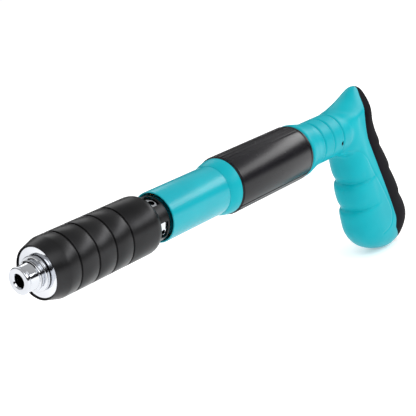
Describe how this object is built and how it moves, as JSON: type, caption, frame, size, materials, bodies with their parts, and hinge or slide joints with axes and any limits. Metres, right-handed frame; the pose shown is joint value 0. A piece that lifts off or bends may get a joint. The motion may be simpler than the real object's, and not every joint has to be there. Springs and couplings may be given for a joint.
{
  "type": "push-fire mini nail gun",
  "caption": "Hand-held push-to-fire nail gun: nose and muffler sleeve slide into a painted tube with a ribbed grip band and a pistol handle.",
  "frame": {"origin": "bottom centre of the whole tool's box, under the tube's axis, at the height of the handle's lowest point", "axes": "+X along the tube from the muzzle to the handle, -Z down the handle, -Y the side with the set screw"},
  "size_m": [0.3788, 0.0384, 0.1285],
  "materials": {
    "chrome": "polished chrome plate",
    "machined_steel": "turned, lightly oiled",
    "spring_steel": "drawn wire, bright",
    "nitrile": "moulded, semi matt",
    "black_anodised": "turned and black anodised, satin",
    "teal_paint": "glossy powder coat",
    "teal_plastic": "moulded, semi gloss",
    "bronze": "plain",
    "black_gloss": "moulded, glossy",
    "black_rubber": "moulded, matt",
    "blackened_steel": "black oxide"
  },
  "bodies": {
    "body": {"main_tube": "teal_paint", "tube_bush": "bronze", "return_spring": "spring_steel", "spring_seat": "machined_steel", "buffer_washer": "nitrile", "release_ring": "machined_steel", "hammer_spring": "spring_steel", "rear_plug": "machined_steel", "front_shoulder": "teal_plastic", "grip_band": "black_gloss", "handle_left": "teal_plastic", "handle_right": "teal_plastic", "back_strap": "black_rubber", "set_screw": "blackened_steel", "handle_screw_1": "blackened_steel", "handle_screw_2": "blackened_steel", "handle_screw_3": "blackened_steel", "handle_screw_4": "blackened_steel"},
    "barrel": {"nose_piece": "chrome", "front_cap": "chrome", "vent_tube": "chrome", "barrel_tube": "machined_steel", "baffle_1": "machined_steel", "baffle_2": "machined_steel", "baffle_3": "machined_steel", "breech_head": "machined_steel", "retaining_ring": "spring_steel", "o_ring_front": "nitrile", "o_ring_rear": "nitrile"},
    "power_sleeve": {"muffler_sleeve": "black_anodised", "power_collar": "black_anodised"},
    "firing_pin": {"firing_pin": "machined_steel"},
    "hammer": {"hammer": "machined_steel", "sear_spring": "spring_steel"},
    "sear": {"sear_block": "machined_steel"}
  },
  "joints": [
    {"name": "press_stroke", "type": "slide", "parent": "body", "child": "barrel", "axis": [1, 0, 0], "range_m": [0, 0.009], "stiffness_N_per_m": 2500, "springref_m": -0.004, "deforming": ["return_spring"]},
    {"name": "power_adjust", "type": "hinge", "parent": "barrel", "child": "power_sleeve", "pos_m": [-0.13938, 0, 0.10148], "axis": [1, 0, 0], "range_deg": [0, 45]},
    {"name": "pin_slide", "type": "slide", "parent": "body", "child": "firing_pin", "axis": [1, 0, 0], "range_m": [0, 0.009]},
    {"name": "hammer_slide", "type": "slide", "parent": "body", "child": "hammer", "axis": [1, 0, 0], "range_m": [0, 0.009], "deforming": ["hammer_spring"]},
    {"name": "sear_shift", "type": "slide", "parent": "hammer", "child": "sear", "axis": [0, 0, -1], "range_m": [0, 0.0015], "deforming": ["sear_spring"]}
  ],
  "couplings": [
    {"joint": "pin_slide", "follows": "press_stroke", "ratio": 1},
    {"joint": "hammer_slide", "follows": "press_stroke", "ratio": 1},
    {"joint": "sear_shift", "follows": "press_stroke", "ratio": 0.16667}
  ]
}
